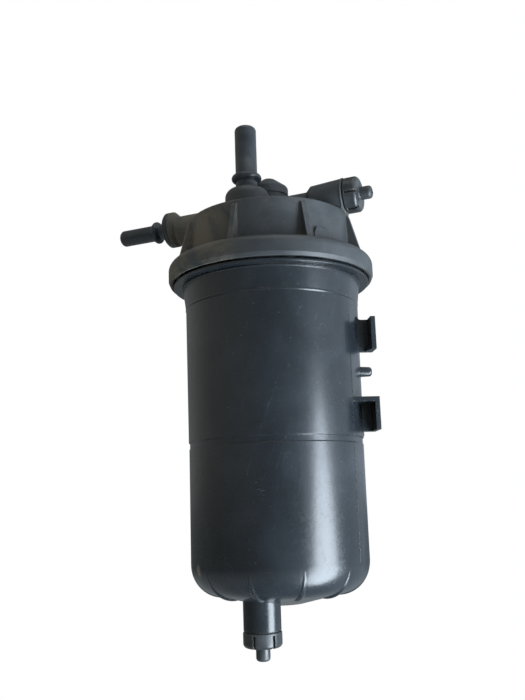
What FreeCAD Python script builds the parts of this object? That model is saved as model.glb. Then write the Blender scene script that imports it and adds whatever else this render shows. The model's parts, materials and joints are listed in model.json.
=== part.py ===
"""Diesel fuel filter: a bowl and a screw-on lid around a pleated element.

All sizes are in millimetres. The bowl's axis is Z, and the origin lies on it in the middle of
the plain barrel that the vehicle's band clamp grips. +X points at the bracket side.
"""
import FreeCAD
import Part

import math
import os

from FreeCAD import Vector

# ---- bowl ---------------------------------------------------------------------------------
wall = 2.6                      # moulded wall of the bowl
band_radius = 38.4              # plain barrel gripped by the clamp
middle_radius = 38.6            # barrel just above the witness groove
ridge_radius = 39.0             # barrel just under the flange
barrel_bottom = -26.15          # the knuckle starts here
knuckle_radius = 13.2           # round between barrel and floor
floor_slope = 13.75             # degrees, the floor falls towards the axis
floor_flat_radius = 10.4
groove_bottom = 22.4            # witness groove round the barrel
groove_top = 25.3
groove_depth = 0.3
ridge_z = 85.0                  # soft ridge where the neck starts to flare
neck_top = 94.1                 # the flare ends here in a small lip under the flange
neck_flare_radius = 40.2
flange_radius = 44.4
flange_bottom = 95.1
flange_top = 96.2
thread_neck_radius = 42.2       # threaded neck inside the lid's skirt
mouth_radius = 39.2
mouth_top = 104.0

floor_rib_count = 11
floor_rib_section = 1.6         # radius of the round bar that a rib is part of
parting_angle = 38.0            # the mould's parting lines, either side of the bracket side
parting_width = 0.4
parting_depth = 0.22

# ---- bracket wings on the bowl --------------------------------------------------------------
wing_face_x = 42.2
wing_thickness = 2.0
wing_outer_y = 23.6
wing_web = 2.2                  # upright web between the wing's face and the barrel
wing_shelf = 2.0
upper_wing_span = (62.0, 76.3)
lower_wing_span = (27.5, 41.5)
upper_web_y = 15.4
lower_web_y = 12.4
root_x = 34.0                   # webs and shelves start inside the barrel's wall
peg_root_x = 34.5
peg_tip_x = 42.0
peg_y = 12.0
peg_z = 53.8

# ---- lid ------------------------------------------------------------------------------------
lid_top = 125.6
lid_plate = 2.8
lid_top_radius = 37.8
lid_base_radius = 38.1
lid_inner_radius = 34.8
skirt_bottom = 96.8
skirt_radius = 46.7
skirt_foot_radius = 46.0
shoulder_radius = 44.0
shoulder_z = 106.3
skirt_bore = 44.25
plug_radius = 38.95
plug_bottom = 96.4
gusset_count = 8
gusset_width = 2.3
index_angle = -67.0             # where the mark for the closed position sits
port_angle = -28.0              # the bleed screw's direction; the inlet points the other way
port_z = 133.1                  # height of the bleed screw's axis
inlet_z = 132.1                 # height of the inlet's axis
turret_centre = (0.7, 0.7)
turret_radius = 8.5
turret_bore = 6.6
turret_top = 139.6
hub_radius = 10.0
hub_top = 138.8
hub_round = 4.0
hub_centre = (-10.55, -10.6)
neck_tube_radius = 9.9
neck_tube_bore = 7.0
neck_tube_bottom = 90.0

# ---- pipe stubs -------------------------------------------------------------------------------
outlet_pipe_radius = 4.945
outlet_tip = 169.3
inlet_pipe_radius = 3.945
inlet_tip = 80.2
inlet_flange_radius = 8.6
inlet_joint = 50.0              # distance from the axis where stub and lid tube meet

# ---- service screws ---------------------------------------------------------------------------
drain_centre = (-9.5, -12.0)
drain_mouth = -52.3
drain_boss_radius = 7.8
bleed_mouth = 38.0
bleed_boss_start = 19.0
bleed_twist = 10.0              # degrees the bleed screw is turned from the drain's position
screw_pitch = 2.0
screw_thread_low = -8.8
screw_head_radius = 8.05
screw_head_length = 6.2
screw_nozzle_radius = 2.95
screw_length = 12.15            # from the boss's mouth to the nozzle's tip
screw_slots = 6

# ---- element ----------------------------------------------------------------------------------
pleat_count = 60
pleat_outer = 33.2
pleat_inner = 14.2
core_radius = 12.0
core_bore = 10.9
element_bottom = 2.0
element_top = 98.0
cap_thickness = 2.0

# ---- lid thread -------------------------------------------------------------------------------
lid_pitch = 4.0
lid_thread_low = 98.1
bowl_thread_crest = 43.6
lid_thread_crest = 42.7

degree = math.pi / 180.0
up = Vector(0, 0, 1)


# ---- drawing helpers ----------------------------------------------------------------------------
def outline(*steps):
    """Closed face in the XZ plane. A step is (x, z) for a straight run, or a pair of such
    points, ((mid x, mid z), (end x, end z)), for an arc through the first to the second."""
    def point(pair):
        return Vector(pair[0], 0, pair[1])

    here = point(steps[0])
    start = here
    edges = []
    for step in steps[1:]:
        if isinstance(step[0], tuple):
            end = point(step[1])
            edges.append(Part.Arc(here, point(step[0]), end).toShape())
        else:
            end = point(step)
            edges.append(Part.makeLine(here, end))
        here = end
    if here.distanceToPoint(start) > 1e-6:
        edges.append(Part.makeLine(here, start))
    return Part.Face(Part.Wire(edges))


def turned(*steps):
    """Solid of revolution about Z from an outline of (radius, z) steps."""
    return outline(*steps).revolve(Vector(0, 0, 0), up, 360)


def plate(width, *steps):
    """The outline, extruded to a plate of the given width centred on the XZ plane."""
    face = outline(*steps)
    face.translate(Vector(0, -width / 2.0, 0))
    return face.extrude(Vector(0, width, 0))


def rod(radius, bottom, top, x=0.0, y=0.0):
    return Part.makeCylinder(radius, top - bottom, Vector(x, y, bottom))


def block(low, high):
    size = [high[i] - low[i] for i in range(3)]
    return Part.makeBox(size[0], size[1], size[2], Vector(*low))


def spun(shape, angle):
    """A copy turned about the Z axis."""
    copy = shape.copy()
    copy.rotate(Vector(0, 0, 0), up, angle)
    return copy


def aimed(shape, place, direction):
    """A copy whose local Z axis is laid along a direction, starting at a place."""
    copy = shape.copy()
    turn = FreeCAD.Rotation(up, Vector(*direction))
    copy.Placement = FreeCAD.Placement(Vector(*place), turn).multiply(copy.Placement)
    return copy


def mirrored_y(shape):
    return shape.mirror(Vector(0, 0, 0), Vector(0, 1, 0))


def o_ring(ring_radius, section_radius, z):
    return Part.makeTorus(ring_radius, section_radius, Vector(0, 0, z))


def on_circle(centre, radius, angle):
    return (centre[0] + radius * math.cos(angle * degree), centre[1] + radius * math.sin(angle * degree))


def crown(edge_radius, edge_z, top_z):
    """Arc step of a shallow dome whose centre is on the axis, from its edge to its top."""
    rise = top_z - edge_z
    ball = (edge_radius ** 2 + rise ** 2) / (2.0 * rise)
    half = math.asin(edge_radius / ball) / 2.0
    return ((ball * math.sin(half), top_z - ball * (1.0 - math.cos(half))), (0, top_z))


def port_point(distance, z=port_z, angle=port_angle):
    return (distance * math.cos(angle * degree), distance * math.sin(angle * degree), z)


def thread(root_radius, crest_radius, pitch, low, high, start_angle=0.0):
    """Right-hand trapezoidal ridge. Its middle runs on a helix from low to high, and starts at
    start_angle. A crest inside the root makes the ridge of a nut."""
    half_crest = 0.11 * pitch
    half_root = 0.275 * pitch
    spine = Part.makeHelix(pitch, high - low, root_radius)
    spine.translate(Vector(0, 0, low))
    corners = [Vector(root_radius, 0, low - half_root), Vector(crest_radius, 0, low - half_crest),
               Vector(crest_radius, 0, low + half_crest), Vector(root_radius, 0, low + half_root)]
    section = Part.makePolygon(corners + corners[:1])
    sweep = Part.BRepOffsetAPI.MakePipeShell(Part.Wire(spine.Edges))
    sweep.setFrenetMode(True)
    sweep.add(section)
    sweep.build()
    sweep.makeSolid()
    return spun(sweep.shape(), start_angle)


# ---- bowl -----------------------------------------------------------------------------------------
knuckle_centre = (band_radius - knuckle_radius, barrel_bottom)


def floor_steps(inset):
    """Floor and knuckle of the bowl, from the axis outwards, moved inwards by inset."""
    radius = knuckle_radius - inset
    foot = on_circle(knuckle_centre, radius, floor_slope - 90)
    fall = (foot[0] - floor_flat_radius) * math.tan(floor_slope * degree)
    flat_z = foot[1] - fall
    middle = on_circle(knuckle_centre, radius, (floor_slope - 90) / 2.0)
    return [(0, flat_z), (floor_flat_radius, flat_z), foot, (middle, (band_radius - inset, barrel_bottom))]


def bowl_outside():
    return turned(
        *floor_steps(0.0),
        (band_radius, groove_bottom), (band_radius - groove_depth, groove_bottom + 0.3),
        (band_radius - groove_depth, groove_top - 0.4), (middle_radius, groove_top),
        (ridge_radius, ridge_z - 0.7), (ridge_radius + 0.2, ridge_z - 0.15),
        (ridge_radius + 0.2, ridge_z + 0.15), (ridge_radius + 0.1, ridge_z + 0.5),
        (neck_flare_radius, neck_top), (neck_flare_radius + 0.4, neck_top + 0.3),
        (neck_flare_radius + 0.4, flange_bottom - 0.3), (neck_flare_radius + 0.1, flange_bottom),
        (flange_radius - 0.2, flange_bottom), (flange_radius, flange_bottom + 0.2),
        (flange_radius, flange_top), (thread_neck_radius, flange_top), (thread_neck_radius, mouth_top),
        (0, mouth_top))


def bowl_cavity():
    inner = band_radius - wall
    return turned(*floor_steps(wall), (inner, neck_top - 2.6), (mouth_radius, flange_top - 0.6),
                  (mouth_radius, mouth_top - 1.0), (mouth_radius + 1.0, mouth_top), (0, mouth_top))


def floor_ribs():
    """Soft ribs over the knuckle, spaced evenly. Each is a stretch of a round bar bent along the
    knuckle, and its centre is set so that the rib fades into the barrel and into the floor."""
    bend_centre = Vector(knuckle_centre[0] - 0.72, 0, knuckle_centre[1] - 0.35)
    bar = Part.makeTorus(knuckle_radius - 0.9, floor_rib_section, bend_centre, Vector(0, 1, 0))
    rib = bar.common(block((18.0, -3.0, -60.0), (band_radius, 3.0, barrel_bottom + 6.0)))
    return [spun(rib, 180 + i * 360.0 / floor_rib_count) for i in range(floor_rib_count)]


def parting_cuts():
    """Shallow upright grooves left by the mould's parting lines."""
    inset = parting_depth
    cut = plate(parting_width, (band_radius - inset, barrel_bottom), (band_radius - inset, groove_bottom),
                (middle_radius - inset, groove_top), (ridge_radius - inset, ridge_z - 8.0),
                (ridge_radius + 2.0, ridge_z - 8.0), (band_radius + 2.0, barrel_bottom))
    return [spun(cut, parting_angle), spun(cut, -parting_angle)]


def wing_plate(low, high):
    return block((wing_face_x - wing_thickness, 0, low), (wing_face_x, wing_outer_y, high))


def beyond(shape, y):
    """The part of a wing that lies outside its web's inner face."""
    return shape.common(block((0, y - wing_web / 2.0, -100), (100, 100, 200)))


def upper_wing():
    """Flat wing on an upright web, closed below by a three-cornered shelf."""
    low, high = upper_wing_span
    web = plate(wing_web, (root_x, low), (wing_face_x, low), (wing_face_x, high), (37.4, high),
                ((36.4, high + 0.4), (36.0, high + 1.4)), (root_x, high + 1.4))
    web.translate(Vector(0, upper_web_y, 0))
    corners = [Vector(wing_face_x, 13.0, low), Vector(wing_face_x, wing_outer_y, low),
               Vector(wing_face_x - wing_thickness, wing_outer_y, low), Vector(37.5, 13.0, low)]
    shelf = Part.Face(Part.makePolygon(corners + corners[:1])).extrude(Vector(0, 0, wing_shelf))
    return web.fuse(beyond(wing_plate(low, high).fuse(shelf), upper_web_y))


def lower_wing():
    """Flat wing on an upright web, closed above by a shelf that runs back to the barrel."""
    low, high = lower_wing_span
    web = plate(wing_web, (root_x, low - 1.2), (36.2, low - 1.2), ((36.6, low - 0.4), (37.4, low)),
                (wing_face_x, low), (wing_face_x, high), (root_x, high))
    web.translate(Vector(0, lower_web_y, 0))
    shelf = block((28.0, 0, high - wing_shelf), (wing_face_x, wing_outer_y, high))
    return web.fuse(beyond(wing_plate(low, high).fuse(shelf), lower_web_y))


def bracket_peg():
    length = peg_tip_x - peg_root_x
    peg = turned((0, 0), (2.4, 0), (2.1, length - 1.3), ((1.9, length - 0.6), (1.4, length - 0.15)),
                 crown(1.4, length - 0.15, length))
    return aimed(peg, (peg_root_x, peg_y, peg_z), (1, 0, 0))


def screw_seat():
    """Hollow that takes a service screw. Z runs out of the boss, and its mouth is at zero."""
    return turned((0, 0.1), (6.9, 0.1), (6.35, -0.5), (6.35, -2.4), (5.3, -2.4), (5.3, -10.6), (3.75, -11.3),
                  (3.75, -13.4), (2.0, -14.2), (2.0, -18.0), (0, -18.0))


def screw_nut():
    """Ridge of the boss's own thread, half a pitch away from the screw's."""
    low = screw_thread_low + screw_pitch / 2.0
    return thread(5.4, 4.65, screw_pitch, low, low + 4.6)


def bowl():
    seat = aimed(screw_seat(), (drain_centre[0], drain_centre[1], drain_mouth), (0, 0, -1))
    boss = rod(drain_boss_radius, drain_mouth, -38.0, *drain_centre)
    seat_collar = rod(5.8, drain_mouth, drain_mouth + 14.8, *drain_centre)
    hollow = bowl_cavity().cut(seat_collar)
    wings = []
    for fitting in (upper_wing(), lower_wing(), bracket_peg()):
        wings += [fitting, mirrored_y(fitting)]
    body = bowl_outside().fuse([boss] + floor_ribs() + wings)
    body = body.cut([hollow, seat] + parting_cuts())
    lid_thread = thread(thread_neck_radius - 0.2, bowl_thread_crest, lid_pitch, lid_thread_low,
                        lid_thread_low + 4.4)
    return body.fuse([lid_thread, at_drain(screw_nut())])


# ---- lid --------------------------------------------------------------------------------------------
def lid_shell():
    top = lid_top
    return turned(
        (0, top), (lid_top_radius - 1.0, top),
        ((lid_top_radius - 0.29, top - 0.29), (lid_top_radius, top - 1.0)),
        (lid_base_radius, 107.6), (shoulder_radius, shoulder_z),
        ((skirt_radius - 0.6, shoulder_z - 1.5), (skirt_radius, shoulder_z - 3.8)),
        (skirt_radius, 98.4), (skirt_foot_radius, skirt_bottom), (skirt_bore + 0.9, skirt_bottom),
        (skirt_bore, skirt_bottom + 0.9), (skirt_bore, mouth_top + 0.6), (plug_radius, mouth_top + 0.6),
        (plug_radius, 101.0), (36.6, 101.0), (36.6, 97.6), (plug_radius, 97.6),
        (plug_radius, plug_bottom + 0.8), (plug_radius - 0.8, plug_bottom), (lid_inner_radius, plug_bottom),
        (lid_inner_radius, top - lid_plate - 1.5),
        ((lid_inner_radius - 0.44, top - lid_plate - 0.44), (lid_inner_radius - 1.5, top - lid_plate)),
        (0, top - lid_plate))


def gussets():
    """Upright triangular ribs from the skirt's shoulder to the lid's top edge."""
    gusset = plate(gusset_width, (34.9, 107.0), (43.0, 105.6), (43.4, 106.6), (38.9, 122.6), (37.0, 124.6))
    return [spun(gusset, port_angle + i * 360.0 / gusset_count) for i in range(gusset_count)]


def index_pad():
    """Raised pad on the shoulder with a V notch and a slit, the mark for the closed position."""
    low, high = 105.0, 112.5
    ring = rod(39.3, low, high).cut(rod(36.5, low - 1, high + 1))
    pad = ring.common(block((30.0, -3.0, low), (45.0, 8.5, high)))
    corners = [Vector(36.0, -1.5, high), Vector(36.0, 1.5, high), Vector(36.0, 0, high - 3.6)]
    notch = Part.Face(Part.makePolygon(corners + corners[:1])).extrude(Vector(5, 0, 0))
    slit = block((38.4, -0.25, high - 5.8), (40.0, 0.25, high - 3.4))
    return spun(pad.cut([notch, slit]), index_angle)


def bleed_boss():
    length = bleed_mouth - bleed_boss_start
    cone = turned((0, 0), (3.9, 0), (7.3, 3.7), (8.15, length - 1.0), (8.35, length - 0.8),
                  (8.35, length - 0.3), (8.1, length), (0, length))
    foot = block((bleed_boss_start + 2.0, -5.5, lid_top - 1.0), (bleed_mouth - 0.8, 5.5, port_z))
    return aimed(cone, port_point(bleed_boss_start), port_point(1.0, 0.0)).fuse(spun(foot, port_angle))


def inlet_arm():
    """Tube from the turret to the inlet's collar, which takes the pipe stub."""
    outwards = port_point(-1.0, 0.0)
    collar_length = 3.7
    collar_start = inlet_joint - collar_length
    tube = aimed(rod(7.1, 0, collar_start - 7.0), port_point(-7.5, inlet_z - 1.2), outwards)
    collar = turned((0, 0), (6.0, 0), (inlet_flange_radius, collar_length - 0.9),
                    (inlet_flange_radius, collar_length), (0, collar_length))
    collar = aimed(collar, port_point(-collar_start, inlet_z), outwards)
    return tube.fuse(collar)


def lid_outside():
    turret = rod(turret_radius, lid_top - 1.0, turret_top, *turret_centre)
    hub = rod(hub_radius, lid_top - 1.0, hub_top, *hub_centre)
    rim = [edge for edge in hub.Edges if edge.BoundBox.ZMin > hub_top - 0.01 and len(edge.Vertexes) == 1]
    hub = hub.makeFillet(hub_round, rim)
    fairing = turned((0, lid_top - 1.0), (10.5, lid_top - 1.0), (5.0, hub_top - 1.3), (0, hub_top - 1.3))
    fairing.translate(Vector(hub_centre[0] + 2.0, hub_centre[1], 0))
    bridge = aimed(rod(5.0, 0, 13.0), port_point(8.0), port_point(1.0, 0.0))
    neck_tube = rod(neck_tube_radius, neck_tube_bottom, lid_top - 1.0)
    return lid_shell().fuse([turret, hub, fairing, bridge, inlet_arm(), neck_tube, bleed_boss(), index_pad()]
                            + gussets())


def lid():
    outwards = port_point(-1.0, 0.0)
    cross_z = lid_top + 3.1
    passages = [
        rod(neck_tube_bore, neck_tube_bottom - 1, lid_top + 1),
        rod(turret_bore, lid_top - 1, turret_top + 1, *turret_centre),
        rod(5.6, cross_z - 2.3, hub_top + 1, *hub_centre),
        aimed(rod(2.3, 0, 15.2), (hub_centre[0], hub_centre[1], cross_z), (-hub_centre[0], -hub_centre[1], 0)),
        aimed(rod(3.5, 0, 30.0), port_point(-24.0, inlet_z), outwards),
        rod(2.5, lid_top - 6, inlet_z, *port_point(-26.0)[:2]),
        aimed(rod(5.45, 0, 2.5), port_point(-(inlet_joint - 2.0), inlet_z), outwards),
        aimed(screw_seat(), port_point(bleed_mouth), port_point(1.0, 0.0)),
        rod(1.5, lid_top - 6, port_z, *port_point(bleed_boss_start + 3.8)[:2]),
    ]
    half_pitch_on = 0.8 - lid_pitch / 2.0
    lid_thread = thread(skirt_bore + 0.2, lid_thread_crest, lid_pitch, lid_thread_low + 0.8,
                        lid_thread_low + 5.2, half_pitch_on / lid_pitch * 360.0)
    return lid_outside().cut(passages).fuse([lid_thread, at_bleed(screw_nut())])


# ---- pipe stubs and the blanking plug ---------------------------------------------------------------
def pipe_stub(shank, flange_radius, flange_end, neck, bead_radius, bead_middle, pipe, tip, bore):
    """Turned pipe stub. The lid's face is at zero. The shank's steps run up to the flange."""
    return turned(
        *shank, (flange_radius - 0.3, 0), (flange_radius, 0.3), (flange_radius, flange_end - 0.6),
        (flange_radius - 0.6, flange_end), (neck, flange_end), (neck, bead_middle - 2.2),
        (bead_radius - 0.7, bead_middle - 1.3),
        ((bead_radius, bead_middle), (bead_radius - 0.7, bead_middle + 1.3)),
        (pipe, bead_middle + 2.4), (pipe, tip - 2.3),
        ((pipe - 0.44, tip - 0.67), (pipe - 1.5, tip)), (bore, tip))


def outlet_spigot():
    bore = 3.3
    shank = [(bore, -9.0), (5.1, -9.0), (5.5, -8.6), (5.5, -6.2),
             (4.3, -6.2), (4.3, -4.0), (5.5, -4.0), (5.5, 0)]
    stub = pipe_stub(shank, flange_radius=5.7, flange_end=1.4, neck=5.0, bead_radius=6.85, bead_middle=5.5,
                     pipe=outlet_pipe_radius, tip=outlet_tip - hub_top, bore=bore)
    stub.translate(Vector(hub_centre[0], hub_centre[1], hub_top))
    return stub


def outlet_spigot_seal():
    ring = o_ring(4.945, 0.63, hub_top - 5.1)
    ring.translate(Vector(hub_centre[0], hub_centre[1], 0))
    return ring


def inlet_spigot():
    bore = 2.3
    shank = [(bore, -9.0), (3.0, -9.0), (3.42, -8.6), (3.42, 0)]
    stub = pipe_stub(shank, flange_radius=inlet_flange_radius, flange_end=3.0, neck=3.7, bead_radius=5.4,
                     bead_middle=59.6 - inlet_joint, pipe=inlet_pipe_radius, tip=inlet_tip - inlet_joint,
                     bore=bore)
    return aimed(stub, port_point(-inlet_joint, inlet_z), port_point(-1.0, 0.0))


def inlet_spigot_seal():
    return aimed(o_ring(4.43, 0.97, 0), port_point(-(inlet_joint - 1.0), inlet_z), port_point(-1.0, 0.0))


def centre_plug():
    """Blanking plug with a conical cap that stands a little over the turret."""
    shank = turret_bore - 0.08
    groove = 5.3
    cap_radius = 9.0
    cone_start = turret_top + 4.4
    cone_end = cone_start + 4.0
    plug = turned((0, 134.4), (shank - 0.4, 134.4), (shank, 134.8),
                  (shank, 135.6), (groove, 135.6), (groove, 137.6), (shank, 137.6),
                  (shank, turret_top), (cap_radius - 0.3, turret_top), (cap_radius, turret_top + 0.3),
                  (cap_radius, cone_start - 0.8), (cap_radius - 0.4, cone_start),
                  (3.4, cone_end), crown(3.4, cone_end, cone_end + 1.0))
    plug.translate(Vector(turret_centre[0], turret_centre[1], 0))
    return plug


def centre_plug_seal():
    ring = o_ring(5.95, 0.63, 136.6)
    ring.translate(Vector(turret_centre[0], turret_centre[1], 0))
    return ring


# ---- service screws ----------------------------------------------------------------------------------
def service_screw():
    """Hollow screw with a slotted head and a hose nozzle. Z runs outwards from the boss's mouth."""
    head_start = 0.5
    head_end = head_start + screw_head_length
    body = turned(
        (0, -10.6), (0, -13.1), (2.3, -13.1), (2.7, -12.7), (2.1, -12.6), (2.1, -11.1), (2.7, -11.0),
        (3.2, -10.4), (4.4, -9.6), (4.4, 0.1), (6.9, 0.1), (6.9, head_start),
        (screw_head_radius - 0.3, head_start), (screw_head_radius, head_start + 0.3), (screw_head_radius, head_end - 1.6),
        ((screw_head_radius - 0.5, head_end - 0.5), (screw_head_radius - 1.6, head_end)),
        (screw_nozzle_radius + 0.3, head_end), (screw_nozzle_radius, head_end + 0.3),
        (screw_nozzle_radius, screw_length - 1.5),
        ((screw_nozzle_radius - 0.4, screw_length - 0.44), (screw_nozzle_radius - 1.4, screw_length)),
        (0, screw_length))
    body = body.fuse(thread(4.3, 5.05, screw_pitch, screw_thread_low, screw_thread_low + 5.2))
    slot = block((screw_head_radius - 1.3, -0.55, head_start + 0.9),
                 (screw_head_radius + 1, 0.55, head_end + 1))
    cuts = [spun(slot, i * 360.0 / screw_slots) for i in range(screw_slots)]
    cuts.append(rod(1.3, -8.6, screw_length + 1))
    cuts.append(aimed(rod(1.0, -6, 6), (0, 0, -8.6), (1, 0, 0)))
    return body.cut(cuts)


def head_seal():
    return o_ring(5.375, 0.955, -1.25)


def tip_seal():
    return o_ring(2.95, 0.78, -11.85)


def at_drain(shape):
    return aimed(shape, (drain_centre[0], drain_centre[1], drain_mouth), (0, 0, -1))


def at_bleed(shape):
    return aimed(spun(shape, bleed_twist), port_point(bleed_mouth), port_point(1.0, 0.0))


# ---- element -------------------------------------------------------------------------------------------
def filter_media():
    """Pleated paper pack: the pleats are solid wedges round the core tube."""
    corners = []
    for i in range(2 * pleat_count):
        radius = pleat_outer if i % 2 == 0 else pleat_inner
        angle = math.pi * i / pleat_count
        corners.append(Vector(radius * math.cos(angle), radius * math.sin(angle), 0))
    star = Part.Face(Part.makePolygon(corners + corners[:1]))
    height = element_top - element_bottom - 2 * cap_thickness
    pack = star.extrude(Vector(0, 0, height))
    pack.translate(Vector(0, 0, element_bottom + cap_thickness))
    return pack.cut(rod(core_radius + 0.05, element_bottom, element_top))


def core_tube():
    bottom = element_bottom + cap_thickness
    top = element_top - cap_thickness
    tube = rod(core_radius, bottom, top).cut(rod(core_bore, bottom - 1, top + 1))
    drill = aimed(rod(2.0, -core_radius - 1, core_radius + 1), (0, 0, 0), (1, 0, 0))
    cuts = []
    for row in range(8):
        for column in range(3):
            hole = spun(drill, column * 60 + (row % 2) * 30)
            hole.translate(Vector(0, 0, bottom + 9 + row * 9))
            cuts.append(hole)
    return tube.cut(cuts)


def water_screen():
    return rod(core_bore - 0.1, 4.1, 87.0).cut(rod(core_bore - 0.6, 3.0, 88.0))


def upper_end_cap():
    bottom = element_top - cap_thickness
    return turned((10.3, bottom), (pleat_outer + 0.2, bottom), (pleat_outer + 0.2, element_top),
                  (14.6, element_top), (14.6, 103.6), (10.3, 103.6), (10.3, 102.2), (12.9, 102.2),
                  (12.9, 99.0), (10.3, 99.0))


def neck_seal():
    return o_ring(11.41, 1.46, 100.6)


def lower_end_cap():
    top = element_bottom + cap_thickness
    return rod(pleat_outer + 0.2, element_bottom, top)


def element_support():
    """Perforated baffle that carries the element over the water sump, on four legs."""
    top = element_bottom
    disc = rod(34.6, top - 2.2, top)
    holes = [spun(rod(3.0, top - 3, top + 1, 26.0, 0), i * 30) for i in range(12)]
    leg = rod(30.0, -45.0, top - 1).cut(rod(27.5, -46.0, top))
    sector = block((20.0, -6.0, -50.0), (40.0, 6.0, top))
    legs = [leg.common(spun(sector, 45 + 90 * i)) for i in range(4)]
    frame = disc.cut(holes).fuse(legs)
    clearance = 0.05
    room = turned(*floor_steps(wall + clearance), (band_radius - wall - clearance, top + 1), (0, top + 1))
    return frame.common(room)


def lid_seal():
    return o_ring(37.9, 1.28, 99.3)


parts = {
    "bowl": bowl,
    "lid": lid,
    "lid_seal": lid_seal,
    "outlet_spigot": outlet_spigot,
    "outlet_spigot_seal": outlet_spigot_seal,
    "inlet_spigot": inlet_spigot,
    "inlet_spigot_seal": inlet_spigot_seal,
    "centre_plug": centre_plug,
    "centre_plug_seal": centre_plug_seal,
    "drain_screw": lambda: at_drain(service_screw()),
    "drain_head_seal": lambda: at_drain(head_seal()),
    "drain_tip_seal": lambda: at_drain(tip_seal()),
    "bleed_screw": lambda: at_bleed(service_screw()),
    "bleed_head_seal": lambda: at_bleed(head_seal()),
    "bleed_tip_seal": lambda: at_bleed(tip_seal()),
    "filter_media": filter_media,
    "core_tube": core_tube,
    "water_screen": water_screen,
    "upper_end_cap": upper_end_cap,
    "lower_end_cap": lower_end_cap,
    "neck_seal": neck_seal,
    "element_support": element_support,
}

os.makedirs("parts", exist_ok=True)
for node, make in parts.items():
    shape = make()
    print(node, "solids", len(shape.Solids), "volume", round(shape.Volume, 1), "valid", shape.isValid())
    shape.exportStep("parts/" + node + ".step")
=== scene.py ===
"""Looks of the diesel fuel filter: procedural materials, fine surface pieces, light and camera."""
import json
import math

import bpy
import bmesh
from mathutils import Matrix, Vector


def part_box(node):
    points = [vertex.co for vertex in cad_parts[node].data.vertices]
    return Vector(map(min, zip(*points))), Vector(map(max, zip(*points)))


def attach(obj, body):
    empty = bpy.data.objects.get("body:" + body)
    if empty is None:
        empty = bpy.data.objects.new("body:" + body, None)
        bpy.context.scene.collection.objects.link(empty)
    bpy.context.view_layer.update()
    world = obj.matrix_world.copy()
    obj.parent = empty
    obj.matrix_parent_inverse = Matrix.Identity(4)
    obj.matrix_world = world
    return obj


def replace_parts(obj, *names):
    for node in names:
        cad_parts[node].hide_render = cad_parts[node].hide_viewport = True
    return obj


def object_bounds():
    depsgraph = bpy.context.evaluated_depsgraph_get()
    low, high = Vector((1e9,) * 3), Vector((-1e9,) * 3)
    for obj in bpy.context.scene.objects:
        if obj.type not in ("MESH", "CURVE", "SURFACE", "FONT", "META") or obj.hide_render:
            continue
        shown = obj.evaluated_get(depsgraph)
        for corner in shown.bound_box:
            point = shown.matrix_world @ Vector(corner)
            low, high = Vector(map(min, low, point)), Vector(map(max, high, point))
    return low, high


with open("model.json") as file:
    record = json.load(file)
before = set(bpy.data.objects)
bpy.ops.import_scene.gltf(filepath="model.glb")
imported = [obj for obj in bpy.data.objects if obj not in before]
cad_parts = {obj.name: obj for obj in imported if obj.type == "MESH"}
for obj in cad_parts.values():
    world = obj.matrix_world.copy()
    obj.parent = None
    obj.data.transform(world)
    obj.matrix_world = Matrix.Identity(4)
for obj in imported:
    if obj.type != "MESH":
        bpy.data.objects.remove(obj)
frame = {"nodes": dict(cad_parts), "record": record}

cad_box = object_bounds()

mm = 0.001
node = frame["nodes"]
shader_samples = 6              # for the rounded edges and the crevices


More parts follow.
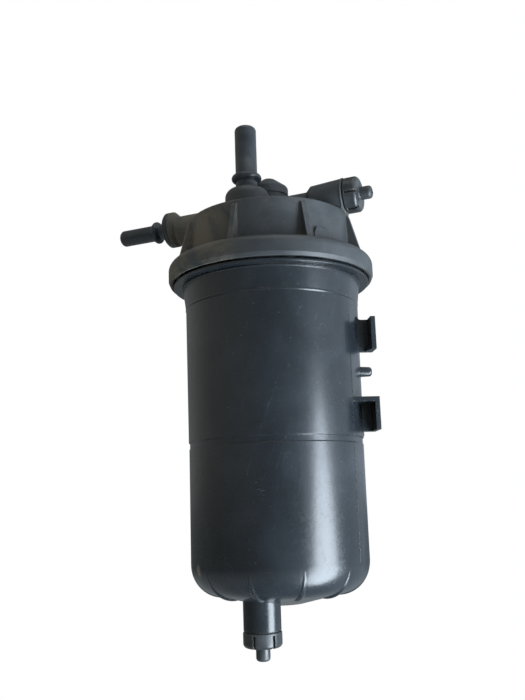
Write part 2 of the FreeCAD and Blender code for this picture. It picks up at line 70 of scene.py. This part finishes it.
# ---- node graph helper ------------------------------------------------------------------------
class Graph:
    """Small wrapper that adds shader nodes and links them."""

    def __init__(self, tree):
        self.tree = tree
        tree.nodes.clear()

    def add(self, kind, inputs=None, **settings):
        made = self.tree.nodes.new(kind)
        for name, value in settings.items():
            setattr(made, name, value)
        for name, value in (inputs or {}).items():
            self.feed(made.inputs[name], value)
        return made

    def feed(self, socket, value):
        if isinstance(value, bpy.types.NodeSocket):
            self.tree.links.new(value, socket)
        elif value is not None:
            socket.default_value = value

    def math(self, operation, first, second=None):
        return self.add("ShaderNodeMath", {0: first, 1: second}, operation=operation).outputs[0]

    def vector_math(self, operation, first, second=None, output="Vector"):
        made = self.add("ShaderNodeVectorMath", {0: first, 1: second}, operation=operation)
        return made.outputs[output]

    def mix(self, factor, first, second):
        made = self.add("ShaderNodeMix", data_type="RGBA", blend_type="MIX", clamp_factor=True)
        self.feed(made.inputs["Factor"], factor)
        self.feed(made.inputs["A"], rgba(first))
        self.feed(made.inputs["B"], rgba(second))
        return made.outputs["Result"]

    def cover(self, color, mask, amount, over):
        """The colour with this amount of another one laid over it where the mask is 1."""
        return self.mix(self.math("MULTIPLY", mask, amount), color, over)

    def lerp(self, factor, first, second):
        made = self.add("ShaderNodeMix", data_type="FLOAT", clamp_factor=True)
        self.feed(made.inputs["Factor"], factor)
        self.feed(made.inputs["A"], first)
        self.feed(made.inputs["B"], second)
        return made.outputs["Result"]

    def ramp(self, value, low, high):
        """0 at low and 1 at high, smooth between them; low may be the larger one."""
        made = self.add("ShaderNodeMapRange", {"Value": value, "From Min": low, "From Max": high},
                        interpolation_type="SMOOTHSTEP")
        return made.outputs["Result"]

    def place(self):
        """The piece's own coordinates in metres, the CAD's frame."""
        return self.add("ShaderNodeTexCoord").outputs["Object"]

    def stretched(self, scale, turn=(0, 0, 0)):
        made = self.add("ShaderNodeMapping", {"Vector": self.place(), "Scale": scale, "Rotation": turn})
        return made.outputs["Vector"]

    def noise(self, scale, detail, roughness, vector=None, distortion=0.0):
        """Cloudy values from 0 to 1; the scale is in clouds per metre."""
        settings = {"Scale": scale, "Detail": detail, "Roughness": roughness, "Distortion": distortion}
        made = self.add("ShaderNodeTexNoise", {"Vector": vector or self.place(), **settings})
        return made.outputs["Fac"]

    def bump(self, height, depth, normal=None):
        """Normal of the surface with this relief, on top of the normal that is given."""
        made = self.add("ShaderNodeBump", {"Height": height, "Distance": depth, "Strength": 1.0,
                                           "Normal": normal})
        return made.outputs["Normal"]

    def rounded(self, radius):
        """Normal of the surface with its edges rounded to this radius."""
        return self.add("ShaderNodeBevel", {"Radius": radius}, samples=shader_samples).outputs["Normal"]

    def principled(self, color, roughness, normal, refraction):
        made = self.add("ShaderNodeBsdfPrincipled", {"Base Color": color, "Roughness": roughness,
                                                     "Normal": normal, "IOR": refraction})
        self.add("ShaderNodeOutputMaterial", {"Surface": made.outputs["BSDF"]})


def rgba(color):
    """A plain colour with its fourth value; a socket stays as it is."""
    if isinstance(color, (tuple, list)):
        return (*color[:3], 1.0)
    return color


def material(name):
    made = bpy.data.materials.new(name)
    made.use_nodes = True
    return made, Graph(made.node_tree)


# ---- wear that the plastics share ------------------------------------------------------------------
def edge_mask(graph, radius):
    """1 on sharp edges, 0 on flat or smoothly curved faces."""
    flat_cosine = 0.985
    edge_cosine = 0.80
    normal = graph.add("ShaderNodeNewGeometry").outputs["Normal"]
    cosine = graph.vector_math("DOT_PRODUCT", graph.rounded(radius), normal, "Value")
    return graph.ramp(cosine, flat_cosine, edge_cosine)


def crevice_mask(graph, distance):
    """1 deep in corners, 0 in the open, by the share of the space nearby that is free."""
    open_share = 0.75
    deep_share = 0.25
    nearby = graph.add("ShaderNodeAmbientOcclusion", {"Distance": distance}, samples=shader_samples)
    return graph.ramp(nearby.outputs["AO"], open_share, deep_share)


def specks(graph, scale, share, size):
    """Sparse round specks of dust: only some of the cells hold one."""
    cell = graph.add("ShaderNodeTexVoronoi", {"Vector": graph.place(), "Scale": scale})
    draw = graph.add("ShaderNodeSeparateColor", {"Color": cell.outputs["Color"]}).outputs[0]
    chosen = graph.ramp(draw, 1.0 - share, 1.0 - share + 0.01)
    near = graph.ramp(cell.outputs["Distance"], size, size * 0.4)
    return graph.math("MULTIPLY", chosen, near)


def pale_patch(graph, centre, reach):
    """A patch round one place, used for dust and for a painted reflection: 1 in its ragged middle, 0 beyond
    its reach along each axis.
    """
    offset = graph.vector_math("SUBTRACT", graph.place(), centre)
    away = graph.vector_math("LENGTH", graph.vector_math("DIVIDE", offset, reach), output="Value")
    ragged = graph.math("ADD", away, graph.noise(260.0, 5.0, 0.65))
    outer = 1.35
    inner = 0.75
    return graph.ramp(ragged, outer, inner)


def scratches(graph, scale, turn, thinness, length):
    """Long thin broken lines: where a stretched noise passes its middle value, kept only in patches."""
    vector = graph.stretched((1.0, 1.0, 1.0), turn)
    stretch = graph.add("ShaderNodeMapping", {"Vector": vector, "Scale": (1.0, 1.0, length)})
    field = graph.noise(scale, 0.0, 0.4, stretch.outputs["Vector"])
    line = graph.ramp(graph.math("ABSOLUTE", graph.math("SUBTRACT", field, 0.5)), thinness, thinness * 0.3)
    patches = graph.ramp(graph.noise(scale * 1.7, 2.0, 0.6, vector), 0.57, 0.66)
    return graph.math("MULTIPLY", line, patches)


# ---- materials ---------------------------------------------------------------------------------------
# linear colours
# beige of dust, also used for the painted reflection on the bowl's knuckle
dust_and_reflection_beige = (0.30, 0.24, 0.155)
dust_brown = (0.165, 0.140, 0.100)
dust_grey = (0.16, 0.165, 0.16)
bowl_clean = (0.0105, 0.0135, 0.0165)
bowl_smudged = (0.019, 0.0235, 0.0285)
bowl_scratch = (0.14, 0.16, 0.18)
bowl_speck = (0.20, 0.21, 0.205)
lid_dark = (0.022, 0.0255, 0.0285)
lid_pale = (0.040, 0.045, 0.049)
lid_worn = (0.12, 0.125, 0.125)
stub_dark = (0.016, 0.021, 0.025)
stub_pale = (0.032, 0.038, 0.043)
stub_worn = (0.13, 0.14, 0.14)
stub_film = (0.12, 0.115, 0.10)
stub_scratch = (0.14, 0.15, 0.15)
screw_dark = (0.019, 0.022, 0.024)
screw_pale = (0.036, 0.040, 0.042)
screw_worn = (0.20, 0.205, 0.20)
rubber_dark = (0.010, 0.010, 0.011)
rubber_pale = (0.026, 0.026, 0.027)
paper_dark = (0.42, 0.31, 0.16)
paper_pale = (0.66, 0.53, 0.33)
# painted shade for the folds of the paper
paper_fold_shade = (0.20, 0.13, 0.06)
element_dark = (0.060, 0.060, 0.064)
element_pale = (0.10, 0.10, 0.105)
screen_dark = (0.55, 0.55, 0.52)
screen_pale = (0.74, 0.74, 0.70)

plastic_refraction = 1.5
lid_refraction = 1.48
paper_refraction = 1.4
soft_edge = 0.3 * mm            # radius that the moulded edges are shaded with

# beige patches on the bowl, as centre and reach: dust by the peg, and a painted reflection of light from
# below on the knuckle towards -X
dust_and_reflection_patches = [
    ((38 * mm, -6 * mm, 57 * mm), (5 * mm, 8 * mm, 17 * mm)),
    ((-35.3 * mm, -15 * mm, -28 * mm), (3 * mm, 3 * mm, 4 * mm)),
]


def bowl_plastic():
    """Glossy blue-black plastic, hazed by handling, with scratches, specks, dirt in the corners, dust by the
    peg and a painted reflection on the knuckle.
    """
    made, g = material("bowl_black")
    smudge = g.noise(38.0, 5.0, 0.6, distortion=0.6)
    haze = g.noise(14.0, 5.0, 0.6)
    streaks = g.noise(60.0, 3.0, 0.6, g.stretched((1.0, 1.0, 0.06)))
    color = g.mix(g.ramp(smudge, 0.35, 0.75), bowl_clean, bowl_smudged)
    marks = g.math("MAXIMUM", scratches(g, 30.0, (0.0, 0.0, 0.4), 0.004, 40.0),
                   scratches(g, 9.0, (0.0, 1.25, 0.0), 0.0025, 60.0))
    color = g.cover(color, marks, 0.3, bowl_scratch)
    dots = g.math("MAXIMUM", specks(g, 420.0, 0.018, 0.15), specks(g, 900.0, 0.035, 0.2))
    color = g.cover(color, dots, 0.45, bowl_speck)
    dirt = g.math("MULTIPLY", crevice_mask(g, 4 * mm), g.ramp(g.noise(120.0, 4.0, 0.65), 0.45, 0.7))
    color = g.cover(color, dirt, 0.16, dust_and_reflection_beige)
    # the knuckle patch is a painted reflection of light from below; the peg patch is dust
    for centre, reach in dust_and_reflection_patches:
        color = g.cover(color, pale_patch(g, centre, reach), 0.55, dust_and_reflection_beige)
    rough = g.lerp(haze, 0.17, 0.33)
    rough = g.math("ADD", rough, g.math("MULTIPLY", g.ramp(g.noise(330.0, 4.0, 0.7), 0.5, 0.8), 0.10))
    rough = g.math("ADD", rough, g.math("MULTIPLY", g.ramp(streaks, 0.5, 0.75), 0.06))
    rough = g.lerp(g.math("MAXIMUM", dots, dirt), rough, 0.7)
    orange_peel = g.bump(g.noise(520.0, 2.0, 0.5), 0.02 * mm, g.rounded(0.35 * mm))
    ripple = g.bump(g.noise(70.0, 2.0, 0.5, g.stretched((1.0, 1.0, 0.3))), 0.05 * mm, orange_peel)
    raised = g.bump(dots, 0.03 * mm, ripple)
    g.principled(color, rough, raised, plastic_refraction)
    return made


def lid_plastic():
    """Matte charcoal plastic with a fine grain, brown dust towards -X and a grey film everywhere."""
    made, g = material("lid_charcoal")
    grain = g.noise(900.0, 3.0, 0.6)
    cloud = g.noise(26.0, 5.0, 0.62, distortion=0.4)
    color = g.mix(g.ramp(cloud, 0.3, 0.72), lid_dark, lid_pale)
    film = g.ramp(g.noise(55.0, 6.0, 0.7, distortion=0.5), 0.38, 0.68)
    color = g.cover(color, film, 0.14, dust_grey)
    sideways = g.add("ShaderNodeSeparateXYZ", {"Vector": g.place()}).outputs["X"]
    dusty_side = g.ramp(sideways, -12 * mm, -32 * mm)
    patches = g.ramp(g.noise(48.0, 6.0, 0.70, distortion=0.8), 0.36, 0.60)
    brown = g.math("MULTIPLY", dusty_side, patches)
    color = g.cover(color, brown, 0.80, dust_brown)
    crevices = g.math("MULTIPLY", crevice_mask(g, 4 * mm), g.ramp(g.noise(160.0, 4.0, 0.6), 0.35, 0.6))
    color = g.cover(color, crevices, 0.30, dust_and_reflection_beige)
    worn = g.math("MULTIPLY", edge_mask(g, 0.45 * mm), g.ramp(g.noise(210.0, 3.0, 0.6), 0.38, 0.62))
    color = g.cover(color, worn, 0.5, lid_worn)
    dots = specks(g, 700.0, 0.06, 0.22)
    color = g.cover(color, dots, 0.5, dust_grey)
    rough = g.lerp(g.ramp(cloud, 0.3, 0.7), 0.42, 0.60)
    rough = g.lerp(g.math("MAXIMUM", brown, crevices), rough, 0.85)
    soft = g.rounded(soft_edge)
    bumps = g.bump(grain, 0.05 * mm, soft)
    bumps = g.bump(g.noise(150.0, 3.0, 0.6), 0.06 * mm, bumps)
    g.principled(color, rough, bumps, lid_refraction)
    return made


def stub_plastic():
    """Satin blue-black plastic of the pipe stubs, with fine rings of wear from the couplings."""
    made, g = material("stub_black")
    cloud = g.noise(90.0, 4.0, 0.6)
    color = g.mix(g.ramp(cloud, 0.3, 0.75), stub_dark, stub_pale)
    worn = g.math("MULTIPLY", edge_mask(g, 0.4 * mm), g.ramp(g.noise(260.0, 3.0, 0.6), 0.35, 0.6))
    color = g.cover(color, worn, 0.45, stub_worn)
    film = g.ramp(g.noise(140.0, 5.0, 0.68), 0.48, 0.7)
    color = g.cover(color, film, 0.22, stub_film)
    marks = scratches(g, 90.0, (0.2, 0.1, 0.3), 0.004, 22.0)
    color = g.cover(color, marks, 0.4, stub_scratch)
    rough = g.lerp(film, 0.33, 0.62)
    soft = g.rounded(soft_edge)
    bumps = g.bump(g.noise(800.0, 3.0, 0.6), 0.03 * mm, soft)
    g.principled(color, rough, bumps, plastic_refraction)
    return made


def screw_plastic():
    """Satin black plastic of the service screws, scuffed bright on the edges of the slots."""
    made, g = material("screw_black")
    cloud = g.noise(130.0, 4.0, 0.6)
    color = g.mix(g.ramp(cloud, 0.3, 0.75), screw_dark, screw_pale)
    worn = g.math("MULTIPLY", edge_mask(g, 0.5 * mm), g.ramp(g.noise(300.0, 3.0, 0.6), 0.3, 0.6))
    color = g.cover(color, worn, 0.6, screw_worn)
    crevices = g.math("MULTIPLY", crevice_mask(g, 2.5 * mm), g.ramp(g.noise(240.0, 4.0, 0.6), 0.35, 0.6))
    color = g.cover(color, crevices, 0.12, dust_and_reflection_beige)
    rough = g.lerp(g.ramp(cloud, 0.35, 0.7), 0.30, 0.5)
    soft = g.rounded(soft_edge)
    bumps = g.bump(g.noise(700.0, 3.0, 0.6), 0.04 * mm, soft)
    g.principled(color, rough, bumps, plastic_refraction)
    return made


def seal_rubber():
    """Matte black rubber of the O-rings."""
    made, g = material("seal_rubber")
    color = g.mix(g.ramp(g.noise(300.0, 4.0, 0.6), 0.35, 0.7), rubber_dark, rubber_pale)
    rough = g.lerp(g.noise(500.0, 3.0, 0.6), 0.45, 0.75)
    g.principled(color, rough, g.bump(g.noise(1200.0, 3.0, 0.6), 0.02 * mm), plastic_refraction)
    return made


def filter_paper():
    """Resin-treated paper: warm, fibrous, with painted shade that darkens it in the folds."""
    made, g = material("filter_paper")
    fibres = g.noise(700.0, 6.0, 0.7, g.stretched((1.0, 1.0, 0.25)))
    color = g.mix(g.ramp(fibres, 0.3, 0.7), paper_dark, paper_pale)
    # painted shade: darker where the pleats close in, by the crevice mask
    color = g.cover(color, crevice_mask(g, 3 * mm), 0.4, paper_fold_shade)
    g.principled(color, 0.85, g.bump(fibres, 0.06 * mm), paper_refraction)
    return made


def element_plastic():
    """Satin dark grey plastic of the element's end caps, core tube and support."""
    made, g = material("element_plastic")
    cloud = g.noise(80.0, 4.0, 0.6)
    color = g.mix(g.ramp(cloud, 0.3, 0.7), element_dark, element_pale)
    rough = g.lerp(cloud, 0.35, 0.55)
    g.principled(color, rough, g.bump(g.noise(900.0, 3.0, 0.6), 0.03 * mm), plastic_refraction)
    return made


def screen_plastic():
    """Off-white plastic of the water screen."""
    made, g = material("screen_plastic")
    color = g.mix(g.ramp(g.noise(400.0, 4.0, 0.6), 0.35, 0.7), screen_dark, screen_pale)
    g.principled(color, 0.5, g.bump(g.noise(1500.0, 2.0, 0.6), 0.02 * mm), plastic_refraction)
    return made


finish = {
    "bowl_black": bowl_plastic(),
    "lid_charcoal": lid_plastic(),
    "stub_black": stub_plastic(),
    "screw_black": screw_plastic(),
    "seal_rubber": seal_rubber(),
    "filter_paper": filter_paper(),
    "element_plastic": element_plastic(),
    "screen_plastic": screen_plastic(),
}


def dress_cad_nodes():
    """Each carried-over CAD node gets the material of its slot in the record."""
    for part in frame["record"]["subparts"]:
        shown = node[part["node"]]
        shown.data.materials.clear()
        shown.data.materials.append(finish[part["material_slot"]])


dress_cad_nodes()


# ---- pieces rebuilt as finer meshes --------------------------------------------------------------------
def new_piece(name, mesh, slot, body):
    """A piece of this script's own, in the material of its slot, that moves with the body."""
    piece = bpy.data.objects.new(name, mesh)
    bpy.context.scene.collection.objects.link(piece)
    mesh.materials.append(finish[slot])
    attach(piece, body)
    return piece


def smooth_shade(mesh):
    mesh.polygons.foreach_set("use_smooth", [True] * len(mesh.polygons))


def pleated_paper():
    """The pleat pack as one folded sheet: a closed zigzag ribbon with rounded folds."""
    low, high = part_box("filter_media")
    outer_fold = high.x - 0.35 * mm
    inner_fold = 12.9 * mm
    half_thickness = 0.22 * mm
    fold_sharpness = 0.985          # 1 would be a knife edge
    sway_size = 0.07 * mm           # how far the walls wander from straight
    pleats = 60
    steps_per_pleat = 16
    levels = 13
    around_count = pleats * steps_per_pleat

    def path_point(index):
        phase = index / steps_per_pleat
        turn = 2.0 * math.pi * phase / pleats
        wave = math.acos(fold_sharpness * math.cos(2.0 * math.pi * phase)) / math.pi
        radius = outer_fold + (inner_fold - outer_fold) * wave
        return Vector((radius * math.cos(turn), radius * math.sin(turn)))

    path = [path_point(i) for i in range(around_count)]
    mesh = bmesh.new()
    sides = []
    for side in (half_thickness, -half_thickness):
        rings = []
        for level in range(levels):
            z = low.z + (high.z - low.z) * level / (levels - 1)
            ring = []
            for i in range(around_count):
                along = path[(i + 1) % around_count] - path[i - 1]
                across = Vector((along.y, -along.x)).normalized()
                sway = sway_size * math.sin(9.0 * level + 2.6 * (i // steps_per_pleat))
                point = path[i] + across * (side + sway * (0 < level < levels - 1))
                ring.append(mesh.verts.new((point.x, point.y, z)))
            rings.append(ring)
        sides.append(rings)
    outside, inside = sides
    for i in range(around_count):
        j = (i + 1) % around_count
        for level in range(levels - 1):
            above = level + 1
            mesh.faces.new((outside[level][i], outside[level][j], outside[above][j], outside[above][i]))
            mesh.faces.new((inside[level][j], inside[level][i], inside[above][i], inside[above][j]))
        mesh.faces.new((inside[0][i], inside[0][j], outside[0][j], outside[0][i]))
        mesh.faces.new((outside[-1][i], outside[-1][j], inside[-1][j], inside[-1][i]))
    bmesh.ops.recalc_face_normals(mesh, faces=mesh.faces)
    data = bpy.data.meshes.new("pleated_paper")
    mesh.to_mesh(data)
    mesh.free()
    smooth_shade(data)
    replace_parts(new_piece("pleated_paper", data, "filter_paper", "bowl"), "filter_media")


def woven_screen():
    """The water screen as a fine diamond mesh sleeve."""
    low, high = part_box("water_screen")
    radius = high.x - 0.25 * mm
    strand = 0.34 * mm
    end_gap = 0.2 * mm
    columns = 36
    rows = 88
    mesh = bmesh.new()
    grid = []
    for row in range(rows + 1):
        z = low.z + end_gap + (high.z - low.z - 2.0 * end_gap) * row / rows
        shift = 0.5 * (row % 2)
        ring = []
        for column in range(columns):
            turn = 2.0 * math.pi * (column + shift) / columns
            ring.append(mesh.verts.new((radius * math.cos(turn), radius * math.sin(turn), z)))
        grid.append(ring)
    for row in range(rows - 1):
        for column in range(columns):
            across = column + 1 if row % 2 else column
            left = grid[row + 1][(across - 1) % columns]
            right = grid[row + 1][across % columns]
            mesh.faces.new((grid[row][column], right, grid[row + 2][column], left))
    data = bpy.data.meshes.new("woven_screen")
    mesh.to_mesh(data)
    mesh.free()
    piece = new_piece("woven_screen", data, "screen_plastic", "bowl")
    strands = piece.modifiers.new("strands", "WIREFRAME")
    strands.thickness = strand
    strands.use_even_offset = False
    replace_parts(piece, "water_screen")


pleated_paper()
woven_screen()


# ---- studio -------------------------------------------------------------------------------------------
camera_target = Vector((-4.77, 0.45, 66.7)) * mm
camera_azimuth = -5.0           # degrees from the -Y side, positive towards +X
camera_elevation = -10.825
camera_distance = 357.9 * mm
camera_roll = -1.829            # degrees
camera_lens = 40.59             # millimetres of focal length, on a 36 mm sensor
light_target = Vector((0, 0, 40)) * mm
floor_drop = 0.35               # metres from the filter down to the floor
floor_half_side = 40.0
white = (1.0, 1.0, 1.0)
sky_light = (0.78, 0.89, 1.0)
open_door_light = (0.80, 0.90, 1.0)
pale_wall_light = (0.86, 0.93, 1.0)
room_front = (0.21, 0.23, 0.24)
room_right = (0.54, 0.62, 0.70)
room_left = (0.44, 0.45, 0.43)
floor_near = (0.10, 0.10, 0.10)
floor_far = (0.35, 0.35, 0.33)
floor_bright = (0.75, 0.76, 0.75)


def aim(thing, target):
    """Turns a light so that it faces the target."""
    thing.rotation_euler = (Vector(target) - thing.location).to_track_quat("-Z", "Y").to_euler()


def around(azimuth, elevation, distance, centre):
    """A point seen from the centre at this azimuth (0 is the -Y side, positive towards +X) and elevation."""
    a = math.radians(azimuth)
    e = math.radians(elevation)
    return centre + distance * Vector((math.sin(a) * math.cos(e), -math.cos(a) * math.cos(e), math.sin(e)))


def camera():
    """The view looks slightly up at the filter from the front, with a small roll."""
    data = bpy.data.cameras.new("camera")
    data.sensor_width = 36.0
    data.lens = camera_lens
    data.clip_start = 0.01
    made = bpy.data.objects.new("camera", data)
    bpy.context.scene.collection.objects.link(made)
    made.location = around(camera_azimuth, camera_elevation, camera_distance, camera_target)
    look = (camera_target - made.location).to_track_quat("-Z", "Y")
    roll = Matrix.Rotation(math.radians(camera_roll), 3, "Z")
    made.rotation_euler = (look.to_matrix() @ roll).to_euler()
    bpy.context.scene.camera = made


def panel(name, azimuth, elevation, distance, width, height, power, color, shape="RECTANGLE"):
    """Soft light facing the filter. Power is in watts."""
    data = bpy.data.lights.new(name, "AREA")
    data.shape = shape
    data.size = width
    data.size_y = height
    data.energy = power
    data.color = color
    made = bpy.data.objects.new(name, data)
    bpy.context.scene.collection.objects.link(made)
    made.location = around(azimuth, elevation, distance, light_target)
    aim(made, light_target)


def surroundings():
    """White to the camera. The plastics reflect a room that is dark in front, a little lighter
    towards -X and much lighter towards +X."""
    world = bpy.data.worlds.new("room")
    bpy.context.scene.world = world
    world.use_nodes = True
    g = Graph(world.node_tree)
    back_along_ray = g.add("ShaderNodeNewGeometry").outputs["Incoming"]
    leftward = g.add("ShaderNodeSeparateXYZ", {"Vector": back_along_ray}).outputs["X"]
    room = g.mix(g.ramp(leftward, 0.25, -0.95), room_front, room_right)
    room = g.mix(g.ramp(leftward, 0.25, 0.90), room, room_left)
    seen = g.add("ShaderNodeLightPath").outputs["Is Camera Ray"]
    color = g.mix(seen, room, white)
    background = g.add("ShaderNodeBackground", {"Color": color, "Strength": 1.0})
    g.add("ShaderNodeOutputWorld", {"Surface": background.outputs["Background"]})


def floor():
    """Plain pale floor well below the filter, which hangs on its bracket in the car. What the
    plastics reflect is a floor that is dark below the filter, bright in a ring and dim beyond."""
    bottom = cad_box[0][2] - floor_drop
    side = floor_half_side
    corners = [(-side, -side), (side, -side), (side, side), (-side, side)]
    mesh = bpy.data.meshes.new("floor")
    mesh.from_pydata([(x, y, bottom) for x, y in corners], [], [(0, 1, 2, 3)])
    made = bpy.data.objects.new("floor", mesh)
    bpy.context.scene.collection.objects.link(made)
    pale, g = material("floor_pale")
    away = g.vector_math("LENGTH", g.place(), output="Value")       # in metres
    bright_ring = g.math("MULTIPLY", g.ramp(away, 0.35, 0.65), g.ramp(away, 2.6, 1.1))
    shade = g.mix(g.ramp(away, 0.6, 1.5), floor_near, floor_far)
    shade = g.mix(bright_ring, shade, floor_bright)
    base = g.add("ShaderNodeBsdfDiffuse", {"Color": shade}).outputs[0]
    glow = g.add("ShaderNodeEmission", {"Color": (1, 1, 1, 1), "Strength": 1.0}).outputs[0]
    seen = g.add("ShaderNodeLightPath").outputs["Is Camera Ray"]
    both = g.add("ShaderNodeMixShader", {0: seen, 1: base, 2: glow}).outputs[0]
    g.add("ShaderNodeOutputMaterial", {"Surface": both})
    mesh.materials.append(pale)


def lights():
    panel("window", azimuth=50, elevation=-29, distance=0.34, width=0.20, height=0.45, power=4.2,
          color=sky_light, shape="ELLIPSE")
    panel("bright_side", azimuth=64, elevation=5, distance=1.3, width=1.25, height=1.6, power=2.7,
          color=open_door_light)
    panel("right_wall", azimuth=112, elevation=5, distance=1.3, width=0.9, height=1.4, power=1.2,
          color=pale_wall_light)
    panel("overhead", azimuth=10, elevation=70, distance=1.2, width=1.0, height=1.0, power=4.0, color=white)


camera()
surroundings()
floor()
lights()
bpy.context.scene.view_settings.view_transform = "Standard"
